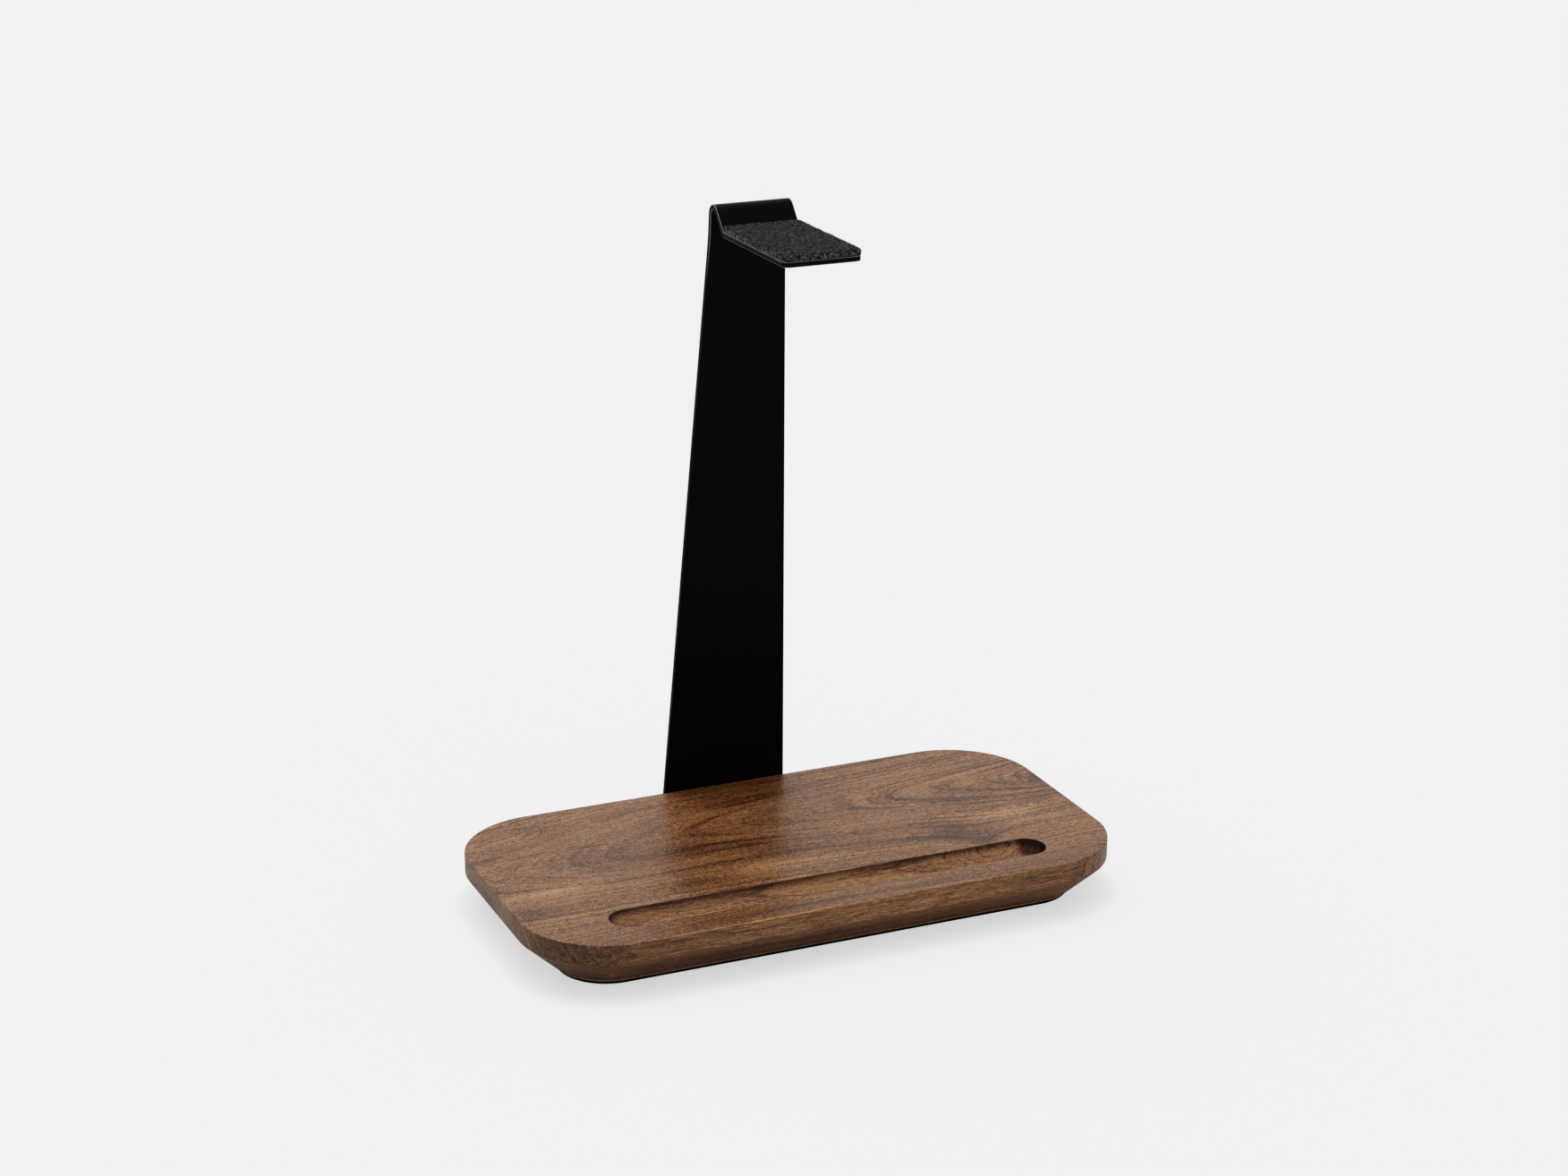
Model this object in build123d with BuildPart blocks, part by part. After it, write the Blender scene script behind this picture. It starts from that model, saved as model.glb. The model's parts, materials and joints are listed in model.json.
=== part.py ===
"""Headphone stand: a walnut base with a pen groove, and a bent steel bracket with a felt seat.

Frame: the origin is on the desk, at the plan centre of the wooden base. +X runs along the base,
-Y is the front with the pen groove, and +Z is up. All sizes are in millimetres.
"""

import os
from math import atan, cos, degrees, radians, sin, tan

from build123d import *

# ---------------------------------------------------------------- driving dimensions

# Wooden base
base_length = 235.0
base_depth = 124.4
base_top = 22.0
base_corner_radius = 33.7
band_height = 7.9
bevel_inset = 13.6
top_edge_round = 0.5
band_edge_round = 0.8
bottom_edge_round = 0.6

# Pen groove, cut with a ball-nosed tool
groove_length = 174.8
groove_width = 15.2
groove_depth = 6.6
groove_centre_y = -41.5
groove_rim_round = 0.3

# Non-slip pad and its adhesive film
pad_thickness = 1.4
pad_inset = 1.2
pad_film_thickness = 0.1
pad_film_inset = 2.7

# Steel bracket
sheet = 2.0
lean_angle = 6.6
riser_gap = 0.7
riser_half_width_at_base_top = 25.4
hook_half_width = 15.1
crest_height = 261.3
crest_outer_radius = 4.4
leg_angle = 41.0
hook_bend_outer_radius = 4.2
foot_bend_inner_radius = 2.5
platform_underside = 250.9
platform_front_y = -30.9
platform_corner_radius = 2.8
taper_top = 247.5
taper_bottom = 12.0
taper_blend_radius = 100.0
foot_front_y = -20.0
foot_corner_radius = 8.0
steel_edge_round = 0.3

# Felt pad and its adhesive film
felt_thickness = 2.5
felt_inset = 0.1
felt_corner_radius = 2.6
felt_edge_round = 0.9
felt_film_thickness = 0.1
felt_film_inset = 1.4
felt_to_leg_gap = 0.15

# Screws, inserts and the holes that take them
screw_spacing_x = 32.0
screw_spacing_y = 44.0
screw_centre_y = 12.0
screw_radius = 2.0
screw_length = 9.0
screw_head_radius = 3.75
screw_head_rim = 0.15
screw_head_angle = 90.0
screw_sink = 0.05
screw_tip_chamfer = 0.4
screw_hole_clearance = 0.2
hex_across_flats = 2.5
hex_depth = 1.4
head_clearance = 0.05
insert_radius = 3.2
insert_root_radius = 2.8
insert_length = 8.0
insert_barbs = 3
barb_share = 0.8
insert_hole_radius = 2.05
insert_drop = 0.1
bore_clearance = 0.05
bore_extra_depth = 0.6
recess_clearance = 0.3

# ---------------------------------------------------------------- derived dimensions

wood_bottom = pad_thickness + pad_film_thickness
band_bottom = base_top - band_height
bottom_length = base_length - 2 * bevel_inset
bottom_depth = base_depth - 2 * bevel_inset
bottom_corner_radius = base_corner_radius - bevel_inset

groove_radius = (groove_width**2 / 4 + groove_depth**2) / (2 * groove_depth)
groove_axis_z = base_top - groove_depth + groove_radius
groove_ball_x = (groove_length - groove_width) / 2

lean = radians(lean_angle)
leg = radians(leg_angle)
foot_top = wood_bottom + sheet
platform_top = platform_underside + sheet
riser_taper = (riser_half_width_at_base_top - hook_half_width) / (taper_top - base_top)
foot_half_width = riser_half_width_at_base_top + riser_taper * (base_top - taper_bottom)
outline_top = crest_height + sheet
sheet_line_limit = 1.02 * sheet


def riser_front_y(height):
    """Y of the riser's front face, which leans forward from the base's rear top edge."""
    return base_depth / 2 + riser_gap - (height - base_top) * tan(lean)


# The crest bend is an arc that touches the riser and the leg; its centre follows from its top.
crest_inner_radius = crest_outer_radius - sheet
crest_centre_z = crest_height - crest_outer_radius
crest_centre_y = riser_front_y(crest_centre_z) - crest_inner_radius / cos(lean)
crest_reach = crest_inner_radius / sin((leg + lean) / 2)
crest_corner = (
    crest_centre_y + crest_reach * sin((leg - lean) / 2),
    crest_centre_z + crest_reach * cos((leg - lean) / 2),
)


def leg_y(height, radius):
    """Y of the leg's face that is tangent to the crest arc of this radius."""
    touch_y = crest_centre_y - radius * cos(leg)
    touch_z = crest_centre_z + radius * sin(leg)
    return touch_y - (touch_z - height) * tan(leg)


felt_bottom = platform_top + felt_film_thickness
felt_top = felt_bottom + felt_thickness
felt_half_width = hook_half_width - felt_inset
felt_front_y = platform_front_y + felt_inset
hook_bend_inner_radius = hook_bend_outer_radius - sheet

barb_pitch = insert_length / insert_barbs
barb_height = barb_pitch * barb_share
barb_taper = degrees(atan((insert_radius - insert_root_radius) / barb_height))

screw_face = wood_bottom + screw_sink
screw_head_height = (screw_head_radius - screw_radius) / tan(radians(screw_head_angle / 2))
countersink_radius = screw_head_radius + screw_head_rim + screw_sink + head_clearance
insert_face = foot_top + insert_drop


def fastener_plane(height):
    """Horizontal plane with its origin at the centre of the screw pattern."""
    return Plane((0, screw_centre_y, height))


def fastener_grid():
    """The four screw places."""
    return GridLocations(screw_spacing_x, screw_spacing_y, 2, 2)


# ---------------------------------------------------------------- wooden base

with BuildPart() as wooden_base:
    with BuildSketch(Plane.XY.offset(wood_bottom)):
        RectangleRounded(base_length, base_depth, base_corner_radius)
    extrude(amount=base_top - wood_bottom)
    underside = wooden_base.faces().sort_by(Axis.Z)[0]
    chamfer(underside.edges(), bevel_inset, band_bottom - wood_bottom, reference=underside)
    fillet(wooden_base.edges().group_by(Axis.Z)[-1], top_edge_round)
    fillet(wooden_base.edges().group_by(Axis.Z)[0], bottom_edge_round)
    fillet(wooden_base.edges().filter_by_position(Axis.Z, band_bottom, band_bottom), band_edge_round)

    # Pen groove: a round-bottomed channel with ball ends
    with Locations((0, groove_centre_y, groove_axis_z)):
        Cylinder(groove_radius, 2 * groove_ball_x, rotation=(0, 90, 0), mode=Mode.SUBTRACT)
    with Locations(
        (-groove_ball_x, groove_centre_y, groove_axis_z),
        (groove_ball_x, groove_centre_y, groove_axis_z),
    ):
        Sphere(groove_radius, mode=Mode.SUBTRACT)
    rim = wooden_base.edges().filter_by_position(Axis.Z, base_top, base_top)
    rim = rim.filter_by_position(Axis.Y, groove_centre_y - groove_width, groove_centre_y + groove_width)
    fillet(rim, groove_rim_round)

    # Underside recess for the bracket's foot, open through the rear bevel
    with BuildSketch(Plane.XY.offset(wood_bottom)):
        with Locations((0, foot_front_y - recess_clearance)):
            RectangleRounded(
                2 * (foot_half_width + recess_clearance),
                base_depth,
                foot_corner_radius + recess_clearance,
                align=(Align.CENTER, Align.MIN),
            )
    extrude(amount=sheet, mode=Mode.SUBTRACT)

    # Blind bores for the threaded inserts
    with BuildSketch(fastener_plane(foot_top)):
        with fastener_grid():
            Circle(insert_radius + bore_clearance)
    extrude(amount=insert_length + insert_drop + bore_extra_depth, mode=Mode.SUBTRACT)

# ---------------------------------------------------------------- steel bracket

with BuildPart() as steel_bracket:
    # Side profile: foot top, riser front, leg underside and platform underside, made one sheet thick
    with BuildSketch(Plane.YZ):
        with BuildLine():
            FilletPolyline(
                (foot_front_y, foot_top),
                (riser_front_y(foot_top), foot_top),
                crest_corner,
                (leg_y(platform_underside, crest_inner_radius), platform_underside),
                (platform_front_y, platform_underside),
                radius=(foot_bend_inner_radius, crest_inner_radius, hook_bend_outer_radius),
            )
            offset(amount=sheet, side=Side.RIGHT)
        make_face()
    extrude(amount=foot_half_width, both=True)

    # Front outline: a broad foot, a straight taper up the riser and a narrow hook
    with BuildSketch(Plane.XZ):
        with BuildLine():
            outline = FilletPolyline(
                (foot_half_width, 0),
                (foot_half_width, taper_bottom),
                (hook_half_width, taper_top),
                (hook_half_width, outline_top),
                radius=taper_blend_radius,
            )
            Line((-foot_half_width, 0), (foot_half_width, 0))
            Line((hook_half_width, outline_top), (-hook_half_width, outline_top))
            mirror(outline, about=Plane.YZ)
        make_face()
    extrude(amount=base_depth, both=True, mode=Mode.INTERSECT)

    front_corners = steel_bracket.edges().filter_by(Axis.Z).group_by(Axis.Y)
    fillet(front_corners[0], platform_corner_radius)
    fillet(front_corners[1], foot_corner_radius)

    # Round the sheet's rim: not the bend lines across the strip, nor the short lines through the sheet
    lines_across = steel_bracket.edges().filter_by(Axis.X).group_by(Axis.Y)
    rim = lines_across[0] + lines_across[1]
    rim += steel_bracket.edges().filter_by(Axis.X, reverse=True).filter_by(
        lambda edge: edge.geom_type != GeomType.LINE or edge.length > sheet_line_limit
    )
    fillet(rim, steel_edge_round)

    # Countersunk holes, drilled from the foot's underside
    with Locations(Plane((0, screw_centre_y, wood_bottom), z_dir=(0, 0, -1))):
        with fastener_grid():
            CounterSinkHole(
                screw_radius + screw_hole_clearance,
                countersink_radius,
                depth=2 * sheet,
                counter_sink_angle=screw_head_angle,
            )

# ---------------------------------------------------------------- felt pad

with BuildPart() as felt_pad:
    leg_gap = felt_to_leg_gap / cos(leg)
    with BuildSketch(Plane.YZ) as felt_profile:
        with BuildLine():
            Polyline(
                (felt_front_y, felt_bottom),
                (leg_y(felt_bottom, crest_outer_radius) - leg_gap, felt_bottom),
                (leg_y(felt_top, crest_outer_radius) - leg_gap, felt_top),
                (felt_front_y, felt_top),
                close=True,
            )
        make_face()
        # Inside the sketch, X and Y stand for the frame's Y and Z
        rear_heel = felt_profile.vertices().group_by(Axis.Y)[0].sort_by(Axis.X)[-1]
        fillet(rear_heel, hook_bend_inner_radius)
    extrude(amount=felt_half_width, both=True)
    fillet(felt_pad.edges().filter_by(Axis.Z), felt_corner_radius)
    fillet(felt_pad.edges().group_by(Axis.Z)[-1], felt_edge_round)

with BuildPart() as felt_adhesive:
    film_front_y = platform_front_y + felt_film_inset
    film_back_y = leg_y(platform_top, crest_outer_radius) - felt_film_inset
    with BuildSketch(Plane.XY.offset(platform_top)):
        with Locations((0, film_front_y)):
            RectangleRounded(
                2 * (hook_half_width - felt_film_inset),
                film_back_y - film_front_y,
                platform_corner_radius - felt_film_inset,
                align=(Align.CENTER, Align.MIN),
            )
    extrude(amount=felt_film_thickness)

# ---------------------------------------------------------------- non-slip pad

with BuildPart() as base_pad:
    with BuildSketch(Plane.XY):
        RectangleRounded(
            bottom_length - 2 * pad_inset,
            bottom_depth - 2 * pad_inset,
            bottom_corner_radius - pad_inset,
        )
    extrude(amount=pad_thickness)

with BuildPart() as base_pad_adhesive:
    with BuildSketch(Plane.XY.offset(pad_thickness)):
        RectangleRounded(
            bottom_length - 2 * pad_film_inset,
            bottom_depth - 2 * pad_film_inset,
            bottom_corner_radius - pad_film_inset,
        )
    extrude(amount=pad_film_thickness)

# ---------------------------------------------------------------- fasteners

with BuildPart() as threaded_inserts:
    with BuildSketch(fastener_plane(insert_face)):
        with fastener_grid():
            Circle(insert_root_radius)
    extrude(amount=insert_length)

    # Barbs: each ring narrows upwards, so the insert grips when it is pulled down
    for barb in range(insert_barbs):
        with BuildSketch(fastener_plane(insert_face + barb * barb_pitch)):
            with fastener_grid():
                Circle(insert_radius)
        extrude(amount=barb_height, taper=barb_taper)

    with BuildSketch(fastener_plane(insert_face)):
        with fastener_grid():
            Circle(insert_hole_radius)
    extrude(amount=insert_length, mode=Mode.SUBTRACT)

with BuildPart() as countersunk_screws:
    with BuildSketch(fastener_plane(screw_face)):
        with fastener_grid():
            Circle(screw_head_radius)
    extrude(amount=screw_head_rim)
    with BuildSketch(fastener_plane(screw_face + screw_head_rim)):
        with fastener_grid():
            Circle(screw_head_radius)
    extrude(amount=screw_head_height, taper=screw_head_angle / 2)
    with BuildSketch(fastener_plane(screw_face)):
        with fastener_grid():
            Circle(screw_radius)
    extrude(amount=screw_length)
    chamfer(countersunk_screws.edges().group_by(Axis.Z)[-1], screw_tip_chamfer)
    with BuildSketch(fastener_plane(screw_face)):
        with fastener_grid():
            RegularPolygon(hex_across_flats / 2, 6, major_radius=False)
    extrude(amount=hex_depth, mode=Mode.SUBTRACT)

# ---------------------------------------------------------------- one STEP file per piece

pieces = {
    "wooden_base": wooden_base,
    "steel_bracket": steel_bracket,
    "felt_pad": felt_pad,
    "felt_adhesive": felt_adhesive,
    "base_pad": base_pad,
    "base_pad_adhesive": base_pad_adhesive,
    "threaded_inserts": threaded_inserts,
    "countersunk_screws": countersunk_screws,
}
os.makedirs("parts", exist_ok=True)
for name, piece in pieces.items():
    piece.part.label = name
    export_step(piece.part, f"parts/{name}.step")
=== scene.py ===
"""Looks of the headphone stand: walnut base, powder-coated steel bracket, felt seat and rubber foot pad.

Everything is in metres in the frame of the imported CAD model. The wood, steel and rubber keep their CAD
meshes and get node materials; the felt pad is replaced by a soft simulated pad with loose fibres.
"""

import json
import math
import random

import bpy
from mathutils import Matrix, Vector, noise

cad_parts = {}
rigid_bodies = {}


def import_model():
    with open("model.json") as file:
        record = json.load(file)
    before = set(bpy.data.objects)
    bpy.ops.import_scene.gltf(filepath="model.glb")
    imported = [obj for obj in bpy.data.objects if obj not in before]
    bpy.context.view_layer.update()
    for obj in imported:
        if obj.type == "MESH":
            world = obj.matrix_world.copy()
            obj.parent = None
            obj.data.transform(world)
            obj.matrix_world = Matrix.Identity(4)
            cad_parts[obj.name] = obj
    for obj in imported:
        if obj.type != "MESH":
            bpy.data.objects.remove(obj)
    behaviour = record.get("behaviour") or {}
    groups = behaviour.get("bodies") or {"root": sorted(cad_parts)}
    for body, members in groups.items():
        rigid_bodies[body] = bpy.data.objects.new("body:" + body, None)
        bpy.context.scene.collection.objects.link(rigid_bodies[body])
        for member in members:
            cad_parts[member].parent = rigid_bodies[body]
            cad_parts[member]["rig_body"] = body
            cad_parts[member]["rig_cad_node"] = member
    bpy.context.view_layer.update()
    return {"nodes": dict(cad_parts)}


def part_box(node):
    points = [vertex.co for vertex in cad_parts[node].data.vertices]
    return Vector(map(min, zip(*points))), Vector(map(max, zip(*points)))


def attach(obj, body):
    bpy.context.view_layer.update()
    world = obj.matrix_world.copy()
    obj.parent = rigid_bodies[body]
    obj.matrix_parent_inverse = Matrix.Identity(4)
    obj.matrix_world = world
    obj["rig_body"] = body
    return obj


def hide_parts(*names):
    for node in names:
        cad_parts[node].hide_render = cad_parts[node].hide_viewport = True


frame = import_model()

scene = bpy.context.scene
MM = 0.001

# ---------------------------------------------------------------- places taken from the CAD frame

BASE_LOW, BASE_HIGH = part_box("wooden_base")
FELT_LOW, FELT_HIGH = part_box("felt_pad")
FILM_LOW, FILM_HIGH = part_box("felt_adhesive")

# The same in millimetres, for the materials
WOOD_LOW = BASE_LOW.z / MM
WOOD_TOP = BASE_HIGH.z / MM
HOOK_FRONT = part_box("steel_bracket")[0].y / MM
# The hook's front edge ends this far behind its foremost point
HOOK_CORNER = 3.0
# The hook counts as starting this far under the top of its platform
HOOK_DEPTH = 6.0
HOOK_LOW = FILM_LOW.z / MM - HOOK_DEPTH

# ---------------------------------------------------------------- node graph helper


class Graph:
    """A small wrapper that builds a material's node tree; every call returns an output socket."""

    def __init__(self, name):
        self.material = bpy.data.materials.new(name)
        self.material.use_nodes = True
        self.tree = self.material.node_tree
        self.tree.nodes.clear()
        self.surface = self.tree.nodes.new("ShaderNodeBsdfPrincipled")
        output = self.tree.nodes.new("ShaderNodeOutputMaterial")
        self.tree.links.new(self.surface.outputs[0], output.inputs["Surface"])

    def put(self, socket, value):
        """Links a socket, or sets a plain number, vector or colour."""
        if isinstance(value, bpy.types.NodeSocket):
            self.tree.links.new(value, socket)
        elif value is not None:
            socket.default_value = value

    def set(self, **inputs):
        """Inputs of the Principled surface, with underscores for spaces."""
        for key, value in inputs.items():
            if key.endswith("Color") or key.endswith("Tint"):
                value = (*value, 1) if isinstance(value, tuple) else value
            self.put(self.surface.inputs[key.replace("_", " ")], value)

    def math(self, operation, a, b=None, clamp=False):
        node = self.tree.nodes.new("ShaderNodeMath")
        node.operation, node.use_clamp = operation, clamp
        for socket, value in zip(node.inputs, (a, b)):
            self.put(socket, value)
        return node.outputs[0]

    def add(self, a, b):
        return self.math("ADD", a, b)

    def minus(self, a, b):
        return self.math("SUBTRACT", a, b)

    def times(self, a, b):
        return self.math("MULTIPLY", a, b)

    def weigh(self, start, *parts):
        """The sum of start and of every part times its share."""
        total = start
        for part, share in parts:
            total = self.add(total, self.times(part, share))
        return total

    def position(self):
        """X, Y and Z of the surface point in millimetres of the CAD frame."""
        split = self.tree.nodes.new("ShaderNodeSeparateXYZ")
        where = self.tree.nodes.new("ShaderNodeTexCoord").outputs["Object"]
        self.put(split.inputs[0], where)
        return [self.times(out, 1 / MM) for out in split.outputs]

    def facing(self, kind="True Normal"):
        """Absolute X, Y and Z of the surface normal."""
        split = self.tree.nodes.new("ShaderNodeSeparateXYZ")
        self.put(split.inputs[0], self.tree.nodes.new("ShaderNodeNewGeometry").outputs[kind])
        return [self.math("ABSOLUTE", out) for out in split.outputs]

    def vector(self, x, y, z):
        node = self.tree.nodes.new("ShaderNodeCombineXYZ")
        for socket, value in zip(node.inputs, (x, y, z)):
            self.put(socket, value)
        return node.outputs[0]

    def noise(self, at, scale=1.0, detail=2.0, rough=0.5, line=False):
        """Noise in space, or along a line when at is a single number."""
        node = self.tree.nodes.new("ShaderNodeTexNoise")
        node.noise_dimensions = "1D" if line else "3D"
        self.put(node.inputs["W" if line else "Vector"], at)
        node.inputs["Scale"].default_value = scale
        node.inputs["Detail"].default_value = detail
        node.inputs["Roughness"].default_value = rough
        return node.outputs[0]

    def cells(self, at, scale):
        """Distance to the nearest of many scattered points."""
        node = self.tree.nodes.new("ShaderNodeTexVoronoi")
        self.put(node.inputs["Vector"], at)
        node.inputs["Scale"].default_value = scale
        return node.outputs["Distance"]

    def remap(self, value, low, high, to_low=0.0, to_high=1.0, smooth=False):
        """Takes low..high to to_low..to_high, and holds the ends."""
        node = self.tree.nodes.new("ShaderNodeMapRange")
        node.clamp = True
        if smooth:
            node.interpolation_type = "SMOOTHSTEP"
        for socket, item in zip(node.inputs, (value, low, high, to_low, to_high)):
            self.put(socket, item)
        return node.outputs[0]

    def ramp(self, value, *stops):
        node = self.tree.nodes.new("ShaderNodeValToRGB")
        elements = node.color_ramp.elements
        while len(elements) < len(stops):
            elements.new(1.0)
        for element, (place, colour) in zip(elements, stops):
            element.position = place
            element.color = (*colour, 1)
        self.put(node.inputs[0], value)
        return node.outputs[0]

    def blend(self, share, a, b, mode="MIX"):
        node = self.tree.nodes.new("ShaderNodeMix")
        node.data_type, node.blend_type, node.clamp_factor = "RGBA", mode, True
        self.put(node.inputs["Factor"], share)
        colours = [s for s in node.inputs if s.type == "RGBA"]
        for socket, value in zip(colours, (a, b)):
            self.put(socket, (*value, 1) if isinstance(value, tuple) else value)
        return [s for s in node.outputs if s.type == "RGBA"][0]

    def bump(self, height, depth_mm, strength):
        node = self.tree.nodes.new("ShaderNodeBump")
        node.inputs["Strength"].default_value = strength
        node.inputs["Distance"].default_value = depth_mm * MM
        self.put(node.inputs["Height"], height)
        return node.outputs[0]


# ---------------------------------------------------------------- walnut

# The board was sawn just above the heart of the log. The heart runs almost along X and rises slowly to
# the right, which opens the growth rings into the nested arches seen on the top face.
HEART_Y = 23.0
HEART_BELOW_TOP = 30.0
HEART_RISE = 0.11

# The pen groove in the plan of the board
GROOVE_FRONT = -49.1
GROOVE_BACK = -33.9
GROOVE_HALF_LENGTH = 87.6
# Distances before and behind the groove where its tones start and where they are full
GROOVE_FADE = (0.4, 0.1)
# Depth and tone of the painted shade at the rim, and of the painted light further down where the wall stays
# even
GROOVE_RIM_SHADE = (0.5, -0.26)
GROOVE_WALL_LIGHT = (2.8, 0.20)
# Distances from each end where a darker tone starts and where it is full, and that tone; at the right end
# it is a painted shadow that makes the end nearly black
GROOVE_RIGHT_END_SHADOW = (9.0, 4.5, -0.50)
GROOVE_LEFT_END = (4.5, 1.5, -0.22)

# Heights over the lower rim of the base where a tone starts and where it is full, and that tone: a painted
# shade line above the rim and a painted highlight line on it
LOWER_RIM_SHADE_LINE = (4.0, 1.8, -0.16)
LOWER_RIM_HIGHLIGHT_LINE = (1.5, 1.0, 0.62)
# Height of the rounded front rim of the top
TOP_RIM = 0.6

# How far the growth rings wander and how far their edges are feathered, in millimetres
RING_WANDER = 10.0
RING_FEATHER = 2.8
# The share of the feathering that the thin lines get
LINE_FEATHER = 0.16
# Streaks and thin lines are read further along the noise than the bands
STREAK_SHIFT = 71.0
LINE_SHIFT = 31.0

# Each row below is a hill in the plan of the board: x, y, height, reach along x and reach along y, all in
# millimetres but for the heights of tones and shares. Tone runs from 0 (dark) to 1 (light).

# The heart sways to the front at its left end
HEART_SWAY = (-115.0, 0.0, -12.0, 50.0, 1e4)
# Knots draw the rings in to a point
KNOTS = (
    (69.0, -30.0, 12.0, 15.0, 15.0),
    (-80.0, 52.0, 2.2, 3.0, 2.2),
    (-82.5, 45.0, 2.6, 3.5, 2.4),
    (113.5, 15.0, 4.0, 5.0, 3.5),
)
KNOT_CORE_TONE = -0.20
KNOT_CORE_SIZE = 0.4
# Slow bends of the grain
BENDS = (
    (-58.0, 2.0, 4.0, 26.0, 16.0),
    (100.0, -8.0, 4.0, 26.0, 16.0),
    (-20.0, -36.0, 3.0, 46.0, 16.0),
)
# Tones of lighter and darker passages
PASSAGES = (
    (-98.0, -10.0, 0.20, 20.0, 5.0),
    (-66.0, -14.0, 0.10, 16.0, 3.0),
    (-15.0, -20.0, 0.20, 24.0, 4.5),
    (86.0, -10.0, 0.25, 17.0, 4.0),
    (98.0, -18.0, 0.16, 16.0, 3.0),
    (-106.0, -36.0, 0.10, 12.0, 4.0),
    (-112.0, -24.0, -0.18, 9.0, 5.0),
    (-62.0, 16.0, -0.04, 13.0, 5.0),
    (-40.0, 8.0, -0.16, 13.0, 5.5),
    (-20.0, 0.0, -0.13, 13.0, 5.5),
    (0.0, -8.0, -0.11, 13.0, 5.0),
    (-46.0, -23.0, -0.18, 9.0, 5.0),
    (61.0, -18.0, -0.28, 12.0, 7.0),
    (-81.0, 48.0, -0.12, 12.0, 5.0),
    (78.0, 14.0, -0.10, 14.0, 10.0),
    (35.0, 28.0, -0.10, 5.0, 14.0),
    (45.0, 22.0, 0.05, 60.0, 28.0),
    (-10.0, -56.5, -0.15, 60.0, 1.8),
    (0.0, -64.0, -0.05, 300.0, 9.0),
)
# The same on the sides alone
SIDE_PASSAGES = (
    (-104.0, -50.0, -0.14, 16.0, 16.0),
    (8.0, -64.0, 0.07, 60.0, 16.0),
)
# Tone of the painted highlight on the rounded front rim of the top
TOP_RIM_HIGHLIGHT = (-35.0, -62.0, 0.30, 60.0, 4.0)
# Shares by which the growth rings fade
CALM = (
    (-60.0, 22.0, 0.75, 30.0, 15.0),
    (0.0, -64.0, 0.45, 300.0, 18.0),
)

WALNUT_TONES = (
    (0.10, (0.040, 0.0157, 0.0063)),
    (0.32, (0.115, 0.0465, 0.0182)),
    (0.50, (0.231, 0.1020, 0.0425)),
    (0.68, (0.364, 0.1770, 0.0790)),
    (0.92, (0.550, 0.2990, 0.1480)),
)
PORE_COLOUR = (0.020, 0.009, 0.004)
# Tints that the tones are multiplied with
GREY_PASSAGE_TINT = (0.74, 0.77, 0.83)
END_GRAIN_TINT = (0.40, 0.36, 0.34)
# Painted light: a cool tint on the sides for light bounced from the floor
SIDE_BOUNCE_LIGHT_TINT = (0.97, 1.08, 1.18)
# Painted shadow: tint for the right end of the groove
GROOVE_END_SHADOW_TINT = (0.30, 0.32, 0.36)


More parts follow.
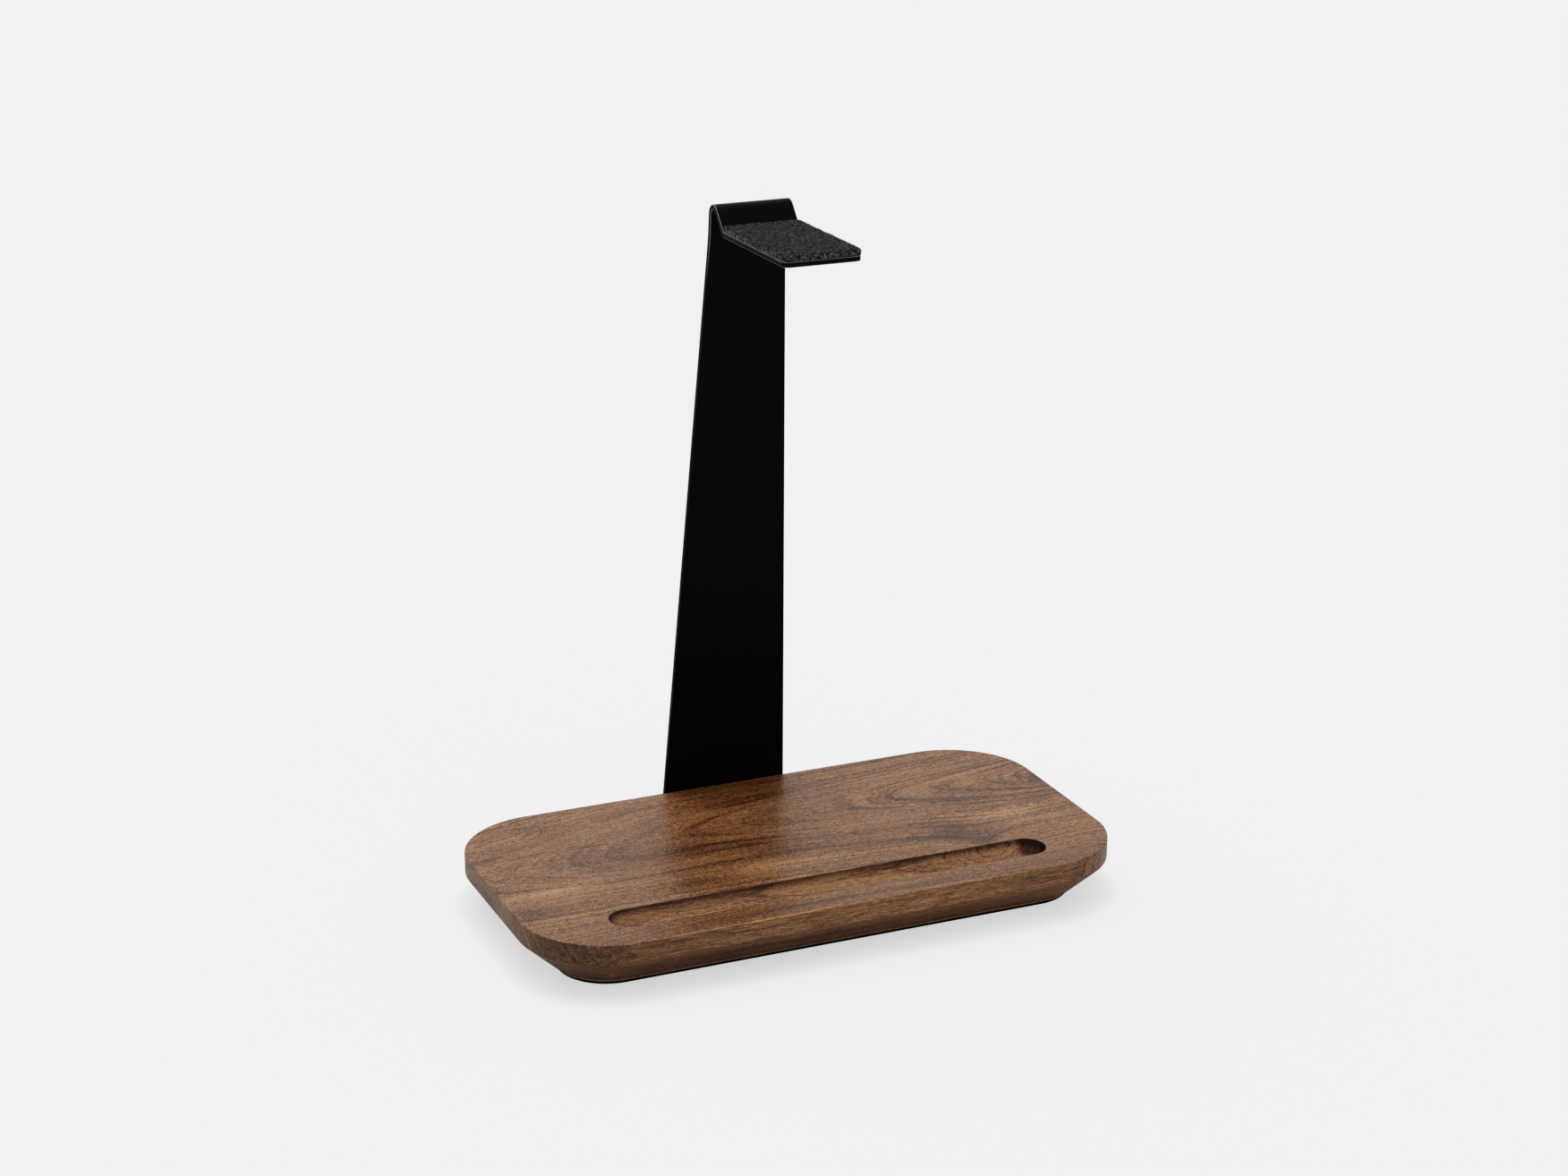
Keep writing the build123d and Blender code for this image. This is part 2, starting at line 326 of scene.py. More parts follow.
class Walnut(Graph):
    """Oiled walnut as one solid texture, so that top, sides and ends show the same rings."""

    def __init__(self):
        super().__init__("walnut_oiled")
        self.x, self.y, self.z = self.position()
        self.across_end, _, self.upward = self.facing()
        self.side = self.remap(self.upward, 0.95, 0.5)
        # How far the slow wander of the grain, the bends and the knots move the rings
        drift = self.vector(self.times(self.x, 0.006), self.times(self.y, 0.015), self.times(self.z, 0.015))
        self.wander = self.times(self.minus(self.noise(drift, 1.0, 2.0), 0.5), RING_WANDER)
        self.pull = self.add(self.hills(KNOTS, cusp=True), self.hills(BENDS))
        self.flow_y = self.add(self.add(self.y, self.wander), self.pull)

    def hill(self, row, cusp=False):
        """A hill in the plan of the board; with cusp it comes to a point, otherwise it is rounded."""
        centre_x, centre_y, height, reach_x, reach_y = row
        dx = self.times(self.minus(self.x, centre_x), 1 / reach_x)
        dy = self.times(self.minus(self.y, centre_y), 1 / reach_y)
        far = self.add(self.times(dx, dx), self.times(dy, dy))
        far = self.math("SQRT", far) if cusp else far
        return self.times(self.math("POWER", math.e, self.times(far, -1.0)), height)

    def hills(self, rows, cusp=False):
        total = self.hill(rows[0], cusp)
        for row in rows[1:]:
            total = self.add(total, self.hill(row, cusp))
        return total

    def stretched(self, along, over, detail=2.0, rough=0.5, shift=0.0):
        """Noise drawn out along the grain; along and over are cycles per millimetre."""
        at_x = self.add(self.times(self.x, along), shift)
        at = self.vector(at_x, self.times(self.flow_y, over), self.times(self.z, over))
        return self.noise(at, 1.0, detail, rough)

    def grow_fibres(self):
        """Fibres, from broad soft streaks to fine hairs."""
        self.cloud = self.stretched(0.010, 0.045, 3.0, 0.55)
        self.curl = self.stretched(0.09, 0.05, 2.0)
        self.grain = self.stretched(0.014, 0.40, 2.0, shift=6.0)
        self.fine = self.stretched(0.060, 1.1, 3.0, 0.65)
        self.hair = self.stretched(0.40, 3.0, 3.0, 0.7)
        self.speck = self.stretched(1.1, 2.6, 2.0, 0.6)

    def grow_rings(self):
        """Growth rings: soft bands and streaks with feathered edges, and thin lines that come and go."""
        heart_y = self.add(self.hill(HEART_SWAY), HEART_Y)
        heart_z = self.add(self.times(self.x, HEART_RISE), WOOD_TOP - HEART_BELOW_TOP)
        across = self.add(self.minus(self.y, heart_y), self.wander)
        above = self.minus(self.z, heart_z)
        ring = self.math("SQRT", self.add(self.times(across, across), self.times(above, above)))
        ring = self.minus(ring, self.pull)

        feather = self.times(self.minus(self.fine, 0.5), RING_FEATHER)
        soft_ring = self.add(ring, feather)
        bands = self.noise(soft_ring, 0.15, 3.0, 0.65, line=True)
        streaks = self.noise(self.add(soft_ring, STREAK_SHIFT), 0.55, 2.0, 0.6, line=True)
        crisp_ring = self.add(ring, self.times(feather, LINE_FEATHER))
        edge = self.noise(self.add(crisp_ring, LINE_SHIFT), 0.42, 1.0, 0.5, line=True)
        edge = self.math("ABSOLUTE", self.minus(edge, 0.5))
        lines = self.remap(edge, 0.0, 0.05, 1.0, 0.0, smooth=True)
        lines = self.times(lines, self.remap(self.stretched(0.02, 0.06, 2.0, shift=9.0), 0.36, 0.54))

        clear = self.math("SUBTRACT", 1.0, self.hills(CALM), clamp=True)
        even = (0.5, 0.5, 0.5)
        self.bands = self.blend(clear, even, bands)
        self.streaks = self.blend(clear, even, streaks)
        self.lines = self.times(lines, clear)

    def board_tone(self):
        """Tone of the plain board: rings, fibres, passages and knots, centred by the first numbers."""
        tone = self.weigh(
            -0.36,
            (self.bands, 0.36),
            (self.streaks, 0.26),
            (self.cloud, 0.26),
            (self.grain, 0.24),
            (self.fine, 0.50),
            (self.curl, 0.12),
            (self.lines, -0.27),
        )
        # The finest fibres show most on the sanded top, the long ones on the sides
        finest = self.weigh(-1.325, (self.hair, 1.45), (self.speck, 1.20))
        tone = self.add(tone, self.times(finest, self.remap(self.side, 0.0, 1.0, 1.12, 0.45)))
        long_ones = self.times(self.minus(self.fine, 0.5), 0.30)
        tone = self.add(tone, self.times(long_ones, self.side))

        tone = self.add(tone, self.hills(PASSAGES))
        tone = self.add(tone, self.times(self.side, self.hills(SIDE_PASSAGES)))
        small = KNOT_CORE_SIZE
        cores = [(x, y, KNOT_CORE_TONE, far_x * small, far_y * small) for x, y, _, far_x, far_y in KNOTS]
        return self.add(tone, self.hills(cores))

    def groove_end(self, along, start, full, tone):
        """The share, 0 to 1, to which a point lies in one end of the groove, and the tone it gets."""
        share = self.remap(along, GROOVE_HALF_LENGTH - start, GROOVE_HALF_LENGTH - full, smooth=True)
        share = self.times(share, self.in_groove)
        return share, self.times(share, tone)

    def groove_tone(self):
        """Painted shade at the groove's rim and painted light deeper down; its ends are darker, the right
        end by a painted shadow.
        """
        far, near = GROOVE_FADE
        behind = self.remap(self.y, GROOVE_FRONT - far, GROOVE_FRONT - near)
        before = self.remap(self.y, GROOVE_BACK + far, GROOVE_BACK + near)
        within = self.math("LESS_THAN", self.math("ABSOLUTE", self.x), GROOVE_HALF_LENGTH)
        hollow = self.remap(self.upward, 0.999, 0.99)
        self.in_groove = self.times(self.times(hollow, within), self.times(behind, before))

        (rim_depth, rim_tone), (wall_depth, wall_tone) = GROOVE_RIM_SHADE, GROOVE_WALL_LIGHT
        depth = self.minus(WOOD_TOP, self.z)
        wall = self.times(self.remap(depth, rim_depth, wall_depth, rim_tone, wall_tone), self.in_groove)
        self.right_end, right_tone = self.groove_end(self.x, *GROOVE_RIGHT_END_SHADOW)
        _, left_tone = self.groove_end(self.times(self.x, -1.0), *GROOVE_LEFT_END)
        return self.add(wall, self.add(right_tone, left_tone))

    def rim_line(self, start, full, tone):
        return self.remap(self.z, WOOD_LOW + start, WOOD_LOW + full, 0.0, tone)

    def rim_tone(self):
        """Painted shade and highlight at the base's lower rim, and a painted highlight on the top's front
        rim.
        """
        lines = self.add(self.rim_line(*LOWER_RIM_SHADE_LINE), self.rim_line(*LOWER_RIM_HIGHLIGHT_LINE))
        rounded = self.times(self.remap(self.upward, 0.99, 0.90), self.remap(self.upward, 0.15, 0.35))
        rounded = self.times(rounded, self.math("GREATER_THAN", self.z, WOOD_TOP - TOP_RIM))
        return self.add(lines, self.times(rounded, self.hill(TOP_RIM_HIGHLIGHT)))

    def stain(self, colour, share, tint):
        return self.blend(share, colour, tint, "MULTIPLY")

    def build(self):
        """Puts the whole wood together."""
        self.grow_fibres()
        self.grow_rings()
        tone = self.add(self.add(self.board_tone(), self.groove_tone()), self.rim_tone())
        colour = self.ramp(tone, *WALNUT_TONES)
        greyer = self.stretched(0.012, 0.03, 1.0, shift=4.0)
        colour = self.stain(colour, self.remap(greyer, 0.42, 0.62, 0.0, 0.30), GREY_PASSAGE_TINT)

        # Open pores: short dark dashes along the grain, denser on one side of each ring
        pores = self.stretched(0.32, 2.6, 1.0, shift=2.0)
        pores = self.minus(pores, self.remap(self.streaks, 0.35, 0.65, 0.56, 0.66))
        pores = self.remap(pores, -0.02, 0.05, smooth=True)
        colour = self.blend(self.times(pores, 0.45), colour, PORE_COLOUR)

        # End grain drinks most oil
        end_grain = self.remap(self.across_end, 0.45, 0.95, smooth=True)
        colour = self.stain(colour, self.times(end_grain, 0.50), END_GRAIN_TINT)
        # Painted light: the sides get a cool tint of light bounced from the floor
        colour = self.stain(colour, self.side, SIDE_BOUNCE_LIGHT_TINT)
        # Painted shadow: the groove's right end is made nearly black
        colour = self.stain(colour, self.times(self.right_end, 0.25), GROOVE_END_SHADOW_TINT)

        height = self.weigh(0.0, (self.fine, 0.35), (self.hair, 0.30), (pores, -0.8))
        # The painted shadow at the groove's right end also lowers the specular there
        self.set(
            Base_Color=colour,
            Roughness=self.add(self.remap(self.cloud, 0.3, 0.7, 0.33, 0.39), self.times(pores, 0.18)),
            Specular_IOR_Level=self.remap(self.right_end, 0.0, 1.0, 0.5, 0.3),
            Normal=self.bump(height, 0.05, strength=0.6),
        )
        return self.material


# ---------------------------------------------------------------- powder-coated steel

COAT_BLACK = (0.0016, 0.0015, 0.0016)
COAT_GRIT = (0.0045, 0.0044, 0.0046)
# Painted highlight colour of the rounded rims
COAT_RIM_HIGHLIGHT = (0.21, 0.21, 0.215)
# Below the hook the painted rim highlight fades out over this height, down to this share
RIM_HIGHLIGHT_FADE = 14.0
RIM_HIGHLIGHT_BELOW = 0.04


def powder_coat():
    """Fine black powder coat; the rounded rims round the hook get painted highlights and are smoother and
    shinier.
    """
    g = Graph("powder_coat_black")
    x, y, z = g.position()
    at = g.vector(x, y, z)
    grit = g.noise(at, 4.5, 2.0, 0.6)
    peel = g.noise(at, 0.9, 1.0)
    cloud = g.noise(at, 0.03, 2.0)
    speck = g.remap(g.cells(at, 2.2), 0.05, 0.25, 1.0, 0.0)
    rough = g.add(g.remap(cloud, 0.3, 0.7, 0.40, 0.47), g.times(speck, 0.06))

    # Rims that get painted highlights are found by where they face: upwards at the hook's front edge,
    # sideways along the strip
    sideways, _, upward = g.facing("Normal")

    def rim(part):
        return g.times(g.remap(part, 0.08, 0.30), g.remap(part, 0.99, 0.90))

    at_front = g.math("LESS_THAN", y, HOOK_FRONT + HOOK_CORNER)
    rim_highlight = g.add(g.times(rim(upward), at_front), g.times(rim(sideways), g.minus(1.0, at_front)))
    rim_highlight = g.times(rim_highlight, g.remap(z, HOOK_LOW - RIM_HIGHLIGHT_FADE, HOOK_LOW, RIM_HIGHLIGHT_BELOW, 1.0))
    rim_highlight = g.times(rim_highlight, g.remap(g.noise(at, 0.7, 3.0, 0.7), 0.25, 0.55, 0.45, 1.0))
    colour = g.blend(g.remap(grit, 0.45, 0.75), COAT_BLACK, COAT_GRIT)
    colour = g.blend(rim_highlight, colour, COAT_RIM_HIGHLIGHT)
    height = g.add(g.times(grit, 0.5), g.times(peel, 0.6))
    g.set(
        Base_Color=colour,
        Roughness=g.minus(rough, g.times(rim_highlight, 0.16)),
        Specular_IOR_Level=g.add(g.times(rim_highlight, 0.60), g.remap(sideways, 0.92, 1.0, 0.14, 0.07)),
        Normal=g.bump(height, 0.04, strength=0.5),
    )
    return g.material


# ---------------------------------------------------------------- rubber, film, brass and zinc

RUBBER_BLACK = (0.0055, 0.0055, 0.0058)
RUBBER_DUSTY = (0.014, 0.0135, 0.013)
FILM_DARK = (0.36, 0.33, 0.26)
FILM_LIGHT = (0.50, 0.47, 0.39)
BRASS_LIGHT = (0.62, 0.44, 0.17)
BRASS_DARK = (0.42, 0.28, 0.10)
ZINC_LIGHT = (0.56, 0.57, 0.58)
ZINC_DARK = (0.40, 0.41, 0.43)


def rubber():
    """Black rubber sheet, dimpled and a little dusty."""
    g = Graph("rubber_sheet_black")
    x, y, z = g.position()
    at = g.vector(x, y, z)
    dimple = g.cells(g.vector(x, y, g.times(z, 0.2)), 0.8)
    dust = g.noise(at, 0.12, 4.0, 0.6)
    fleck = g.noise(at, 3.0, 2.0)
    colour = g.blend(g.remap(dust, 0.45, 0.7, 0.0, 0.5), RUBBER_BLACK, RUBBER_DUSTY)
    g.set(
        Base_Color=colour,
        Roughness=g.remap(fleck, 0.3, 0.7, 0.72, 0.9),
        Specular_IOR_Level=0.3,
        Normal=g.bump(g.add(g.remap(dimple, 0.0, 0.7), g.times(fleck, 0.3)), 0.15, strength=0.6),
    )
    return g.material


def adhesive_film():
    """Yellowish film with cloudy flecks."""
    g = Graph("adhesive_film")
    x, y, z = g.position()
    fleck = g.noise(g.vector(x, y, z), 1.2, 3.0, 0.6)
    colour = g.blend(fleck, FILM_DARK, FILM_LIGHT)
    g.set(
        Base_Color=colour,
        Roughness=g.remap(fleck, 0.3, 0.7, 0.35, 0.6),
        Normal=g.bump(fleck, 0.02, strength=0.4),
    )
    return g.material


def turned_metal(name, light, dark, rough):
    """Turned and plated metal: fine rings round the vertical axis, with stains."""
    g = Graph(name)
    x, y, z = g.position()
    rings = g.noise(g.vector(g.times(x, 0.4), g.times(y, 0.4), g.times(z, 9.0)), 1.0, 2.0)
    stain = g.noise(g.vector(x, y, z), 0.6, 3.0, 0.6)
    g.set(
        Base_Color=g.blend(g.remap(stain, 0.35, 0.7), light, dark),
        Metallic=1.0,
        Roughness=g.add(g.remap(stain, 0.3, 0.7, rough, rough + 0.15), g.times(rings, 0.08)),
        Normal=g.bump(rings, 0.02, strength=0.5),
    )
    return g.material


# ---------------------------------------------------------------- felt

# Colours at shade 1
FELT_DARK = (0.0034, 0.0034, 0.0036)
FELT_PALE = (0.195, 0.195, 0.202)


def felt(name, shade):
    """Charcoal wool felt; shade lightens or darkens the loose fibres."""
    g = Graph(name)
    x, y, z = g.position()
    at = g.vector(x, y, z)
    clump = g.noise(at, 0.55, 3.0, 0.6)
    mat = g.noise(at, 1.2, 4.0, 0.7)
    strand = g.cells(g.vector(g.add(x, g.times(mat, 1.2)), g.add(y, g.times(clump, 2.0)), z), 2.4)
    light = g.remap(g.add(g.times(mat, 0.80), g.times(strand, 0.4)), 0.47, 0.68)
    light = g.times(light, g.remap(clump, 0.35, 0.65, 0.45, 1.0))
    # Pale and dark tufts
    light = g.times(light, g.remap(g.noise(at, 0.9, 2.0, 0.6), 0.38, 0.64, 0.15, 2.2))
    # Painted light and shade: the sides stay pale and the top is darkened
    light = g.times(light, g.remap(g.facing()[2], 0.2, 0.8, 1.0, 0.36))
    dark = tuple(part * shade for part in FELT_DARK)
    pale = tuple(part * shade for part in FELT_PALE)
    colour = g.blend(light, dark, pale)
    g.set(
        Base_Color=colour,
        Roughness=g.remap(mat, 0.3, 0.7, 0.8, 1.0),
        Specular_IOR_Level=0.2,
        Sheen_Weight=0.10,
        Sheen_Roughness=0.45,
        Sheen_Tint=(0.75, 0.77, 0.82),
        Normal=g.bump(g.add(mat, g.times(strand, 0.5)), 0.22, strength=0.8),
    )
    return g.material


FELT_VOXEL = 0.50 * MM
FELT_SIDE_GROW = 0.15 * MM
FELT_BACK_INSET = 0.30 * MM
FELT_TOP_INSET = 0.25 * MM
FELT_MOVE_CAP = 0.40 * MM
FELT_GLUED_HEIGHT = 0.6 * MM
FELT_LOOSE_HEIGHT = 0.8 * MM
FELT_PRESSURE = 4.0
FELT_FRAMES = 20
# Lumps, tufts and grain of the wool: size and height in millimetres
FELT_WOOL = ((2.6, 0.09), (0.9, 0.14), (0.42, 0.09))


def apply_modifiers(obj):
    """Replaces the mesh by its evaluated form, with no modifier left."""
    graph = bpy.context.evaluated_depsgraph_get()
    mesh = bpy.data.meshes.new_from_object(obj.evaluated_get(graph), depsgraph=graph)
    obj.modifiers.clear()
    old = obj.data
    obj.data = mesh
    bpy.data.meshes.remove(old)


def copy_of_felt():
    """A voxel copy of the CAD pad, wider at the sides and front, and with room to swell elsewhere."""
    pad = frame["nodes"]["felt_pad"].copy()
    pad.data = pad.data.copy()
    pad.name = "felt_cushion"
    pad.animation_data_clear()
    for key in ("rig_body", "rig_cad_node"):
        if key in pad:
            del pad[key]
    pad.parent = None
    scene.collection.objects.link(pad)

    centre = (FELT_LOW + FELT_HIGH) / 2
    half = (FELT_HIGH - FELT_LOW) / 2
    for vertex in pad.data.vertices:
        off = [(vertex.co[i] - centre[i]) / half[i] for i in range(3)]
        vertex.co.x += off[0] * FELT_SIDE_GROW
        vertex.co.y += off[1] * (FELT_SIDE_GROW if off[1] < 0 else -FELT_BACK_INSET)
        vertex.co.z += off[2] * (FELT_LOW.z - FILM_LOW.z if off[2] < 0 else -FELT_TOP_INSET)

    remesh = pad.modifiers.new("remesh", "REMESH")
    remesh.mode, remesh.voxel_size = "VOXEL", FELT_VOXEL
    apply_modifiers(pad)
    return pad


def swell(pad):
    """Blows the pad up by a cloth simulation with pressure, held at its glued underside."""
    start = [vertex.co.copy() for vertex in pad.data.vertices]
    glued = pad.vertex_groups.new(name="glued")
    glued_top = FELT_LOW.z + FELT_GLUED_HEIGHT
    glued.add([vertex.index for vertex in pad.data.vertices if vertex.co.z < glued_top], 1.0, "REPLACE")
    cloth = pad.modifiers.new("cloth", "CLOTH")
    settings = cloth.settings
    settings.quality = 4
    settings.mass = 0.05
    settings.tension_stiffness = settings.compression_stiffness = 12
    settings.bending_stiffness = 0.4
    settings.use_pressure = True
    settings.uniform_pressure_force = FELT_PRESSURE
    settings.effector_weights.gravity = 0
    settings.vertex_group_mass = "glued"
    cloth.collision_settings.use_collision = False
    scene.frame_start, scene.frame_end = 1, FELT_FRAMES
    cloth.point_cache.frame_start, cloth.point_cache.frame_end = 1, FELT_FRAMES
    for step in range(1, FELT_FRAMES + 1):
        scene.frame_set(step)
    apply_modifiers(pad)
    for vertex, rest in zip(pad.data.vertices, start):
        move = vertex.co - rest
        if move.length > FELT_MOVE_CAP:
            vertex.co = rest + move * (FELT_MOVE_CAP / move.length)
    pad.vertex_groups.clear()
    scene.frame_set(1)


def roughen(pad):
    """Gives the pad the lumps and tufts of wool, and lays its underside on the film and the steel."""
    normals = [vertex.normal.copy() for vertex in pad.data.vertices]
    for vertex, normal in zip(pad.data.vertices, normals):
        loose = min(1.0, max(0.0, (vertex.co.z - FELT_LOW.z) / FELT_LOOSE_HEIGHT))
        bulge = sum(noise.noise(vertex.co / (size * MM)) * height for size, height in FELT_WOOL)
        vertex.co += normal * (bulge * MM * loose)
    for vertex in pad.data.vertices:
        place = vertex.co
        on_film = FILM_LOW.x < place.x < FILM_HIGH.x and FILM_LOW.y < place.y < FILM_HIGH.y
        place.z = max(place.z, FILM_HIGH.z if on_film else FILM_LOW.z + 0.01 * MM)


def soft_felt():
    """A felt pad with rounded, slightly swollen edges in place of the CAD pad."""
    pad = copy_of_felt()
    swell(pad)
    smooth = pad.modifiers.new("subdivide", "SUBSURF")
    smooth.levels = smooth.render_levels = 1
    apply_modifiers(pad)
    pad.data.update()
    roughen(pad)
    for polygon in pad.data.polygons:
        polygon.use_smooth = True
    pad.data.materials.clear()
    pad.data.materials.append(felt("felt_charcoal", 1.0))
    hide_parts("felt_pad")
    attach(pad, "root")
    return pad


FIBRE_COUNT = 9000
FIBRE_SEED = 7
FIBRE_SIDES = 3
FIBRE_STEPS = 3
FIBRE_LIGHT_SHADE = 2.2
FIBRE_DARK_SHADE = 0.5
FIBRE_DARK_SHARE = 0.5
FIBRE_LOWEST = 0.35 * MM
# Faces steeper than this are sides of the pad, where fibres are denser and shorter
FIBRE_UPWARD = 0.8
FIBRE_SIDE_WEIGHT = 2.8
FIBRE_SIDE_REACH = 0.6
# Ranges and the depth of the root, in millimetres
FIBRE_LENGTH = (0.6, 1.6)
FIBRE_LIFT = (0.06, 0.32)
FIBRE_BEND = (-0.5, 0.5)
FIBRE_THICK = (0.020, 0.048)
FIBRE_ROOT = 0.05
# Shares: of the length before the face's centre, of the lifting arc, and of the width lost at the tip
FIBRE_BEFORE = 0.25
FIBRE_ARC = 0.9
FIBRE_TAPER = 0.6


def fibre_rings(face, rng):
    """The corner points of one tapered tube, ring by ring from its root inside the pad to its tip."""
    normal = face.normal.normalized()
    side = Vector((rng.gauss(0, 1), rng.gauss(0, 1), rng.gauss(0, 0.4)))
    side = (side - normal * side.dot(normal)).normalized()
    turn = normal.cross(side)
    reach = (1.0 if normal.z > FIBRE_UPWARD else FIBRE_SIDE_REACH) * MM
    length = rng.uniform(*FIBRE_LENGTH) * reach
    lift = rng.uniform(*FIBRE_LIFT) * reach
    bend = rng.uniform(*FIBRE_BEND) * reach
    thick = rng.uniform(*FIBRE_THICK) * MM
    points = []
    for step in range(FIBRE_STEPS + 1):
        t = step / FIBRE_STEPS
        rise = lift * math.sin(math.pi * t * FIBRE_ARC) - FIBRE_ROOT * MM * (1 - t)
        along = length * (t - FIBRE_BEFORE)
        spine = face.center + side * along + turn * (bend * t * t) + normal * rise
        width = thick * (1.0 - FIBRE_TAPER * t)
        for k in range(FIBRE_SIDES):
            angle = 2 * math.pi * k / FIBRE_SIDES
            points.append(spine + (turn * math.cos(angle) + normal * math.sin(angle)) * width)
    return points


def fibre_faces(first):
    """The faces of one closed tube whose points start at number first."""
    faces = []
    for ring in range(first, first + FIBRE_STEPS * FIBRE_SIDES, FIBRE_SIDES):
        for k in range(FIBRE_SIDES):
            a = ring + k
            b = ring + (k + 1) % FIBRE_SIDES
            faces.append((a, b, b + FIBRE_SIDES, a + FIBRE_SIDES))
    last = first + FIBRE_STEPS * FIBRE_SIDES
    faces.append(tuple(range(first + FIBRE_SIDES - 1, first - 1, -1)))
    faces.append(tuple(range(last, last + FIBRE_SIDES)))
    return faces


def felt_fibres(pad):
    """Loose wool fibres, light and dark, lying on the pad as closed tapered tubes rooted inside it."""
    rng = random.Random(FIBRE_SEED)
    faces = [face for face in pad.data.polygons if face.center.z > FELT_LOW.z + FIBRE_LOWEST]
    weights = [f.area * (1.0 if f.normal.z > FIBRE_UPWARD else FIBRE_SIDE_WEIGHT) for f in faces]
    vertices, polygons, shades = [], [], []
    for face in rng.choices(faces, weights, k=FIBRE_COUNT):
        tube = fibre_faces(len(vertices))
        vertices += fibre_rings(face, rng)
        polygons += tube
        shades += [1 if rng.random() < FIBRE_DARK_SHARE else 0] * len(tube)
    data = bpy.data.meshes.new("felt_fibres")
    data.from_pydata([tuple(v) for v in vertices], [], polygons)
    data.materials.append(felt("felt_fibre_light", FIBRE_LIGHT_SHADE))
    data.materials.append(felt("felt_fibre_dark", FIBRE_DARK_SHADE))
    for polygon, shade in zip(data.polygons, shades):
        polygon.use_smooth = True
        polygon.material_index = shade
    fibres = bpy.data.objects.new("felt_fibres", data)
    scene.collection.objects.link(fibres)
    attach(fibres, "root")


# ---------------------------------------------------------------- put the materials on

finishes = {
    "wooden_base": Walnut().build(),
    "steel_bracket": powder_coat(),
    "felt_adhesive": adhesive_film(),
    "base_pad": rubber(),
    "base_pad_adhesive": adhesive_film(),
    "threaded_inserts": turned_metal("brass_turned", BRASS_LIGHT, BRASS_DARK, 0.22),
    "countersunk_screws": turned_metal("zinc_plated", ZINC_LIGHT, ZINC_DARK, 0.28),
}
for node_name, finish in finishes.items():
    node = frame["nodes"][node_name]
    if not node.material_slots:
        node.data.materials.append(finish)
    for material_slot in node.material_slots:
        material_slot.material = finish

felt_fibres(soft_felt())

# ---------------------------------------------------------------- floor, light and camera

FLOOR_HALF = 14.0
FLOOR_GAP = 0.05 * MM
FLOOR_SHADE = 0.88
FLOOR_OWN_LIGHT = 0.89
FLOOR_CONTACT = 0.27
FLOOR_CONTACT_REACH = 14 * MM
FLOOR_CONTACT_SAMPLES = 16
FLOOR_BOUNCE = 0.7
WORLD_FRONT = 0.66
WORLD_BACK = 0.80


def floor():
    """A pale sweep, seen nearly evenly lit but darker close to the object; its bounce is greyer."""
    mesh = bpy.data.meshes.new("floor")
    s = FLOOR_HALF
    mesh.from_pydata([(-s, -s, 0), (s, -s, 0), (s, s, 0), (-s, s, 0)], [], [(0, 1, 2, 3)])
    obj = bpy.data.objects.new("floor", mesh)
    obj.location.z = -FLOOR_GAP
    scene.collection.objects.link(obj)
    material = bpy.data.materials.new("floor_pale")
    material.use_nodes = True
    nodes, links = material.node_tree.nodes, material.node_tree.links
    nodes.clear()
    own_light = FLOOR_SHADE * FLOOR_OWN_LIGHT
    seen = nodes.new("ShaderNodeBsdfDiffuse")
    seen.inputs["Color"].default_value = [FLOOR_SHADE * (1 - FLOOR_OWN_LIGHT)] * 3 + [1]
    own = nodes.new("ShaderNodeEmission")
    near = nodes.new("ShaderNodeAmbientOcclusion")
    near.samples = FLOOR_CONTACT_SAMPLES
    near.inputs["Distance"].default_value = FLOOR_CONTACT_REACH
    level = nodes.new("ShaderNodeMapRange")
    level.inputs["To Min"].default_value = own_light * (1 - FLOOR_CONTACT)
    level.inputs["To Max"].default_value = own_light
    links.new(near.outputs["AO"], level.inputs["Value"])
    links.new(level.outputs[0], own.inputs["Strength"])
    bounce = nodes.new("ShaderNodeBsdfDiffuse")
    bounce.inputs["Color"].default_value = [FLOOR_BOUNCE] * 3 + [1]
    both = nodes.new("ShaderNodeAddShader")
    pick = nodes.new("ShaderNodeMixShader")
    path = nodes.new("ShaderNodeLightPath")
    output = nodes.new("ShaderNodeOutputMaterial")
    links.new(seen.outputs[0], both.inputs[0])
    links.new(own.outputs[0], both.inputs[1])
    links.new(path.outputs["Is Camera Ray"], pick.inputs[0])
    links.new(bounce.outputs[0], pick.inputs[1])
    links.new(both.outputs[0], pick.inputs[2])
    links.new(pick.outputs[0], output.inputs["Surface"])
    mesh.materials.append(material)


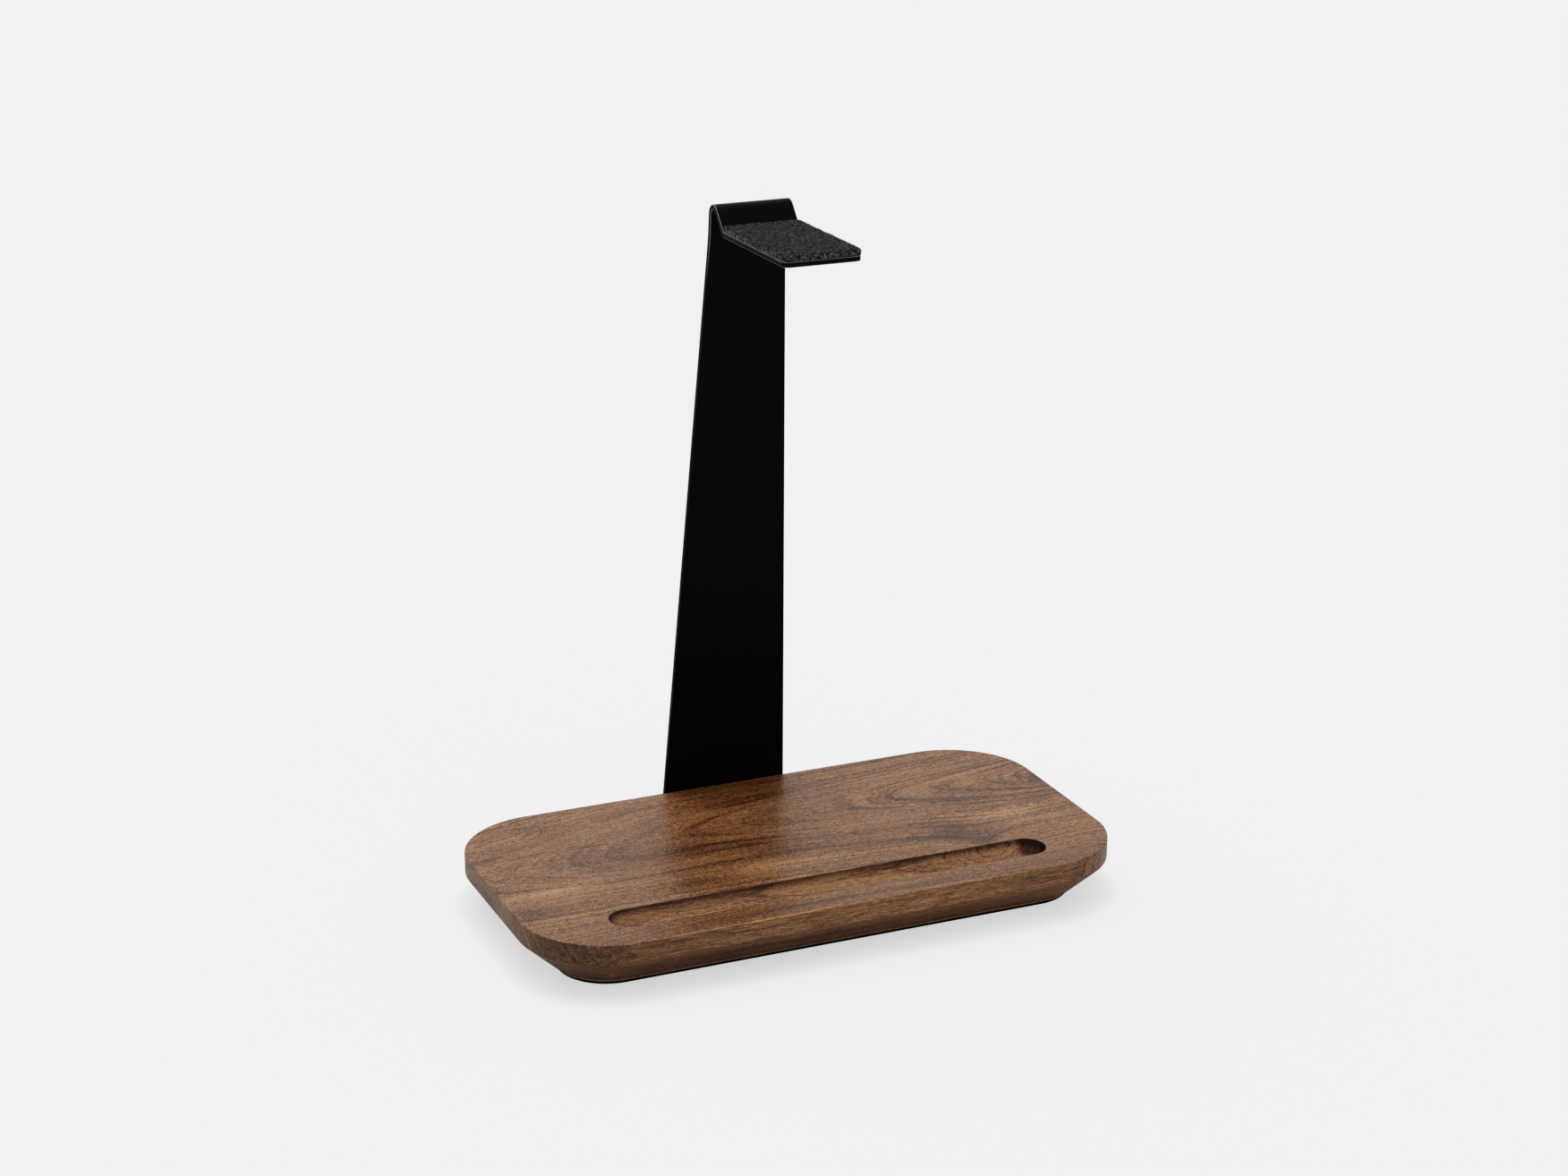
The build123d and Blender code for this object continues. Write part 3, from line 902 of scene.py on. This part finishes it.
def world():
    """Soft light from all round, brighter behind the object; seen directly it matches the floor."""
    made = bpy.data.worlds.new("studio")
    scene.world = made
    made.use_nodes = True
    nodes, links = made.node_tree.nodes, made.node_tree.links
    where = nodes.new("ShaderNodeTexCoord")
    split = nodes.new("ShaderNodeSeparateXYZ")
    level = nodes.new("ShaderNodeMapRange")
    links.new(where.outputs["Generated"], split.inputs[0])
    links.new(split.outputs["Y"], level.inputs["Value"])
    for name, value in (("From Min", -1), ("From Max", 1), ("To Min", WORLD_FRONT), ("To Max", WORLD_BACK)):
        level.inputs[name].default_value = value
    pick = nodes.new("ShaderNodeMix")
    pick.inputs["B"].default_value = FLOOR_SHADE
    links.new(nodes.new("ShaderNodeLightPath").outputs["Is Camera Ray"], pick.inputs["Factor"])
    links.new(level.outputs[0], pick.inputs["A"])
    links.new(pick.outputs["Result"], nodes["Background"].inputs["Strength"])
    nodes["Background"].inputs["Color"].default_value = (1.0, 1.0, 1.0, 1)


def sun(name, azimuth, elevation, strength, spread):
    """A soft distant lamp; azimuth is measured from the front (-Y) towards +X."""
    data = bpy.data.lights.new(name, "SUN")
    data.energy, data.angle = strength, math.radians(spread)
    lamp = bpy.data.objects.new(name, data)
    a, e = math.radians(azimuth), math.radians(elevation)
    towards = Vector((math.sin(a) * math.cos(e), -math.cos(a) * math.cos(e), math.sin(e)))
    lamp.rotation_euler = towards.to_track_quat("Z", "Y").to_euler()
    scene.collection.objects.link(lamp)


CAMERA_PLACE = (-0.43208, -0.98659, 0.48585)
CAMERA_TURN = (71.382, 0.0, -23.573)
CAMERA_LENS = 70.69
CAMERA_SENSOR = 36.0


def camera():
    data = bpy.data.cameras.new("camera")
    data.lens, data.sensor_width = CAMERA_LENS, CAMERA_SENSOR
    data.clip_start, data.clip_end = 0.05, 60.0
    obj = bpy.data.objects.new("camera", data)
    obj.location = CAMERA_PLACE
    obj.rotation_euler = [math.radians(angle) for angle in CAMERA_TURN]
    scene.collection.objects.link(obj)
    scene.camera = obj


# Light in and light out: only the shadows are deepened
TONE_CURVE = ((0.02, 0.008), (0.06, 0.038), (0.12, 0.098), (0.25, 0.245), (0.5, 0.5))


def photo_tones():
    """Plain colours, with the slightly deep shadows of a studio photograph."""
    scene.view_settings.view_transform = "Standard"
    scene.view_settings.use_curve_mapping = True
    response = scene.view_settings.curve_mapping
    for light_in, light_out in TONE_CURVE:
        response.curves[3].points.new(light_in, light_out)
    response.update()


floor()
world()
sun("key", azimuth=-155.0, elevation=62.0, strength=0.96, spread=50.0)
camera()
photo_tones()
